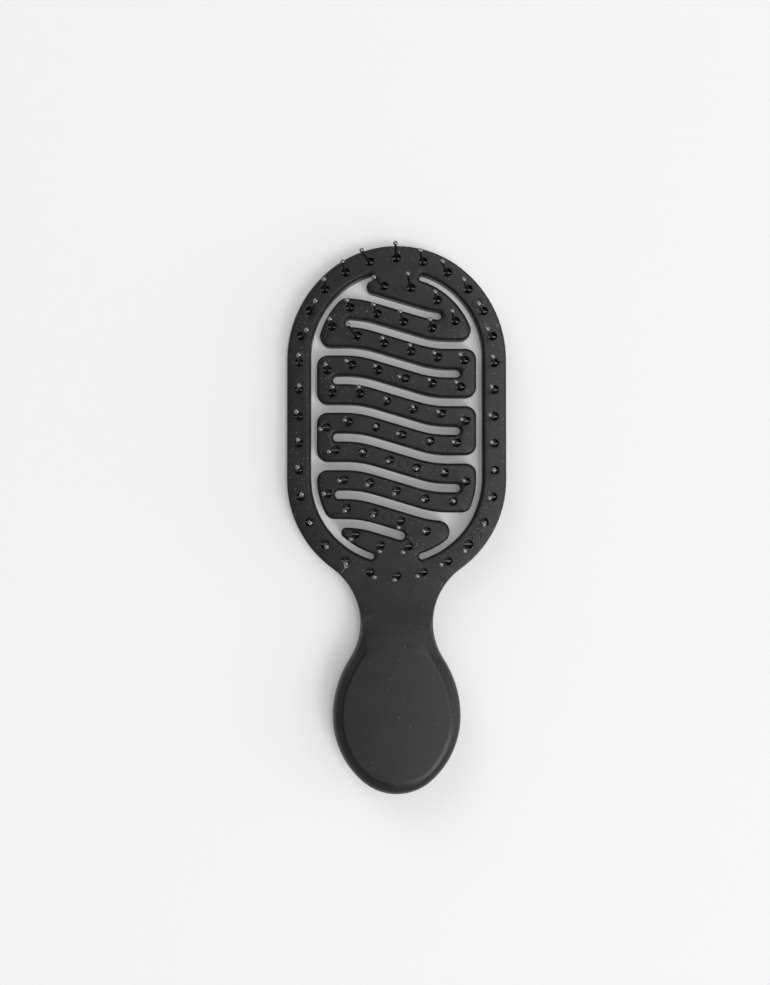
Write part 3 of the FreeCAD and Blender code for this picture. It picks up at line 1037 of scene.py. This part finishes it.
@dataclass
class Lint:
    """Small curl of fibre that has caught on the rim by the neck."""

    column: float = 346.0
    row: float = 566.5
    face_height: float = 6.1 * MM
    lift: float = 0.05 * MM
    radius: float = 0.035 * MM
    loops: int = 5
    loop_points: int = 5
    loop_height: float = 0.7
    spread: float = 0.55 * MM
    seed: int = 4
    tails: tuple[tuple[float, float], ...] = ((341.0, 573.0), (342.0, 561.0))
    tail_bow: Place = (0.1 * MM, 0.1 * MM, 0.35 * MM)
    curve_order: int = 3
    curve_steps: int = 6
    piece: bpy.types.Object | None = None

    def fibres(self) -> list[list[Vector]]:
        """Places the points of the loops and of the tails.

        Returns:
            A list of points for each fibre.
        """
        chance = random.Random(self.seed)
        ground = self.face_height + self.lift
        middle = photo_place(self.column, self.row, ground)
        lines = []
        for _ in range(self.loops):
            line = []
            for _ in range(self.loop_points):
                side = (chance.uniform(-1, 1), chance.uniform(-1, 1), chance.uniform(0, self.loop_height))
                line.append(middle + Vector(side) * self.spread)
            lines.append(line)
        for column, row in self.tails:
            end = photo_place(column, row, ground)
            lines.append([middle, (middle + end) / 2 + Vector(self.tail_bow), end])
        return lines

    def build(self) -> None:
        """Draws the fibres as one curve and turns it into a mesh."""
        curve = bpy.data.curves.new("lint", "CURVE")
        curve.dimensions = "3D"
        curve.bevel_depth = self.radius
        curve.bevel_resolution = 1
        for line in self.fibres():
            spline = curve.splines.new("NURBS")
            spline.points.add(len(line) - 1)
            for point, place in zip(spline.points, line):
                point.co = (*place, 1.0)
            spline.order_u = self.curve_order
            spline.use_endpoint_u = True
            spline.resolution_u = self.curve_steps
        self.piece = add_object("rim_lint", curve)
        make_active(self.piece)
        bpy.ops.object.convert(target="MESH")
        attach(self.piece, BODY)

    def dress(self, material: bpy.types.Material) -> None:
        """Gives the lint its fibre colour."""
        dress(self.piece, material)


@dataclass(frozen=True)
class AreaLamp:
    """One soft lamp that faces the brush's middle."""

    name: str
    place: Place
    size: tuple[float, float]
    power: float

    def build(self) -> None:
        """Adds the lamp."""
        data = bpy.data.lights.new(self.name, "AREA")
        data.shape = "RECTANGLE"
        data.size, data.size_y = self.size
        data.energy = self.power
        lamp = add_object(self.name, data)
        lamp.location = self.place
        lamp.rotation_euler = (Vector() - Vector(self.place)).to_track_quat("-Z", "Y").to_euler()


@dataclass
class Studio:
    """Pale floor, soft lamps, world and camera."""

    camera_height: float = 350 * MM
    camera_pixel: tuple[float, float] = (PHOTO_WIDTH / 2, PHOTO_HEIGHT / 2)
    true_scale_height: float = 4.8 * MM
    sensor: float = 36.0
    nearest: float = 0.01
    floor_half: float = 2.5
    floor_gap: float = 0.01 * MM
    floor_colour: Colour = (0.90, 0.90, 0.90, 1.0)
    floor_roughness: float = 0.9
    floor_gloss: float = 0.1
    floor_glow: float = 0.15
    glow_colour: Colour = (0.93, 0.93, 0.93, 1.0)
    world_strength: float = 0.27
    backdrop_level: float = 0.93
    lamps: tuple[AreaLamp, ...] = (
        AreaLamp("gloss_right", (0.396, 0.0, 2.367), (2.4, 0.34), 14.0),
        AreaLamp("key_low_right", (1.045, -1.045, 1.891), (1.0, 1.0), 23.0),
        AreaLamp("side_right", (2.17, -0.19, 1.01), (2.0, 1.75), 17.0),
        AreaLamp("fill_high_left", (-0.983, 1.702, 1.377), (1.4, 1.4), 14.0),
    )

    def floor_material(self) -> bpy.types.Material:
        """Pale floor that glows a little to the camera, so that it stays nearly white.

        Returns:
            The floor's material.
        """
        made = bpy.data.materials.new("pale_floor")
        made.use_nodes = True
        sheet = NodeSheet(made.node_tree)
        shader = made.node_tree.nodes["Principled BSDF"]
        output = made.node_tree.nodes["Material Output"]
        sheet.feed(self.floor_colour, shader.inputs["Base Color"])
        sheet.feed(self.floor_roughness, shader.inputs["Roughness"])
        sheet.feed(self.floor_gloss, shader.inputs["Specular IOR Level"])
        glow = sheet.add("ShaderNodeEmission")
        sheet.feed(self.glow_colour, glow.inputs["Color"])
        path = sheet.add("ShaderNodeLightPath")
        seen = sheet.math("MULTIPLY", path.outputs["Is Camera Ray"], self.floor_glow)
        mixed = sheet.mix_shaders(seen, shader.outputs["BSDF"], glow.outputs["Emission"])
        sheet.feed(mixed, output.inputs["Surface"])
        return made

    def build_floor(self) -> None:
        """Adds the floor just under the brush."""
        deselect_all()
        height = CAD_BOX[0].z - self.floor_gap
        bpy.ops.mesh.primitive_plane_add(size=2 * self.floor_half, location=(0, 0, height))
        floor = bpy.context.active_object
        floor.name = "floor"
        floor.data.materials.append(self.floor_material())

    def build_world(self) -> None:
        """Sets a plain world: soft light on the brush, white behind it."""
        world = bpy.data.worlds.new("studio")
        bpy.context.scene.world = world
        world.use_nodes = True
        sheet = NodeSheet(world.node_tree)
        soft = world.node_tree.nodes["Background"]
        output = world.node_tree.nodes["World Output"]
        backdrop = sheet.add("ShaderNodeBackground")
        for node, strength in ((soft, self.world_strength), (backdrop, self.backdrop_level)):
            sheet.feed(WHITE, node.inputs["Color"])
            sheet.feed(strength, node.inputs["Strength"])
        seen = sheet.add("ShaderNodeLightPath").outputs["Is Camera Ray"]
        mixed = sheet.mix_shaders(seen, soft.outputs["Background"], backdrop.outputs["Background"])
        sheet.feed(mixed, output.inputs["Surface"])

    def build_camera(self) -> None:
        """Hangs the camera straight over the brush, at the photograph's scale on the brush's face."""
        data = bpy.data.cameras.new("camera")
        data.sensor_width = self.sensor
        data.lens = self.sensor * self.camera_height / (PHOTO_HEIGHT * photo_scale())
        data.clip_start = self.nearest
        camera = add_object("camera", data)
        camera.location = photo_place(*self.camera_pixel, self.true_scale_height + self.camera_height)
        bpy.context.scene.camera = camera

    def build(self) -> None:
        """Builds the whole studio."""
        self.build_floor()
        self.build_world()
        for lamp in self.lamps:
            lamp.build()
        self.build_camera()
        bpy.context.scene.view_settings.view_transform = "Standard"


def main() -> None:
    """Builds and dresses the brush, then its studio."""
    logging.basicConfig(level=logging.INFO, format="%(name)s: %(message)s")
    effects = Effects()
    body = BrushShell()
    body.build()
    body.dress(SoftTouchPlastic().material(effects))
    log.info("body: %d faces", len(body.shell.data.polygons))
    nylon = GlossNylon().material(effects)
    for node in ("rim_pins", "pad_pins"):
        pins = PinField(node)
        pins.build()
        pins.dress(nylon)
        log.info("%s: %d faces", node, len(pins.piece.data.polygons))
    AnchorSlips().dress(DrawnWire().material(effects))
    log.info("anchors dressed")
    lint = Lint()
    lint.build()
    lint.dress(LintFibre().material(effects))
    log.info("lint: %d faces", len(lint.piece.data.polygons))
    Studio().build()
    log.info("studio built")


if __name__ == "__main__":
    main()
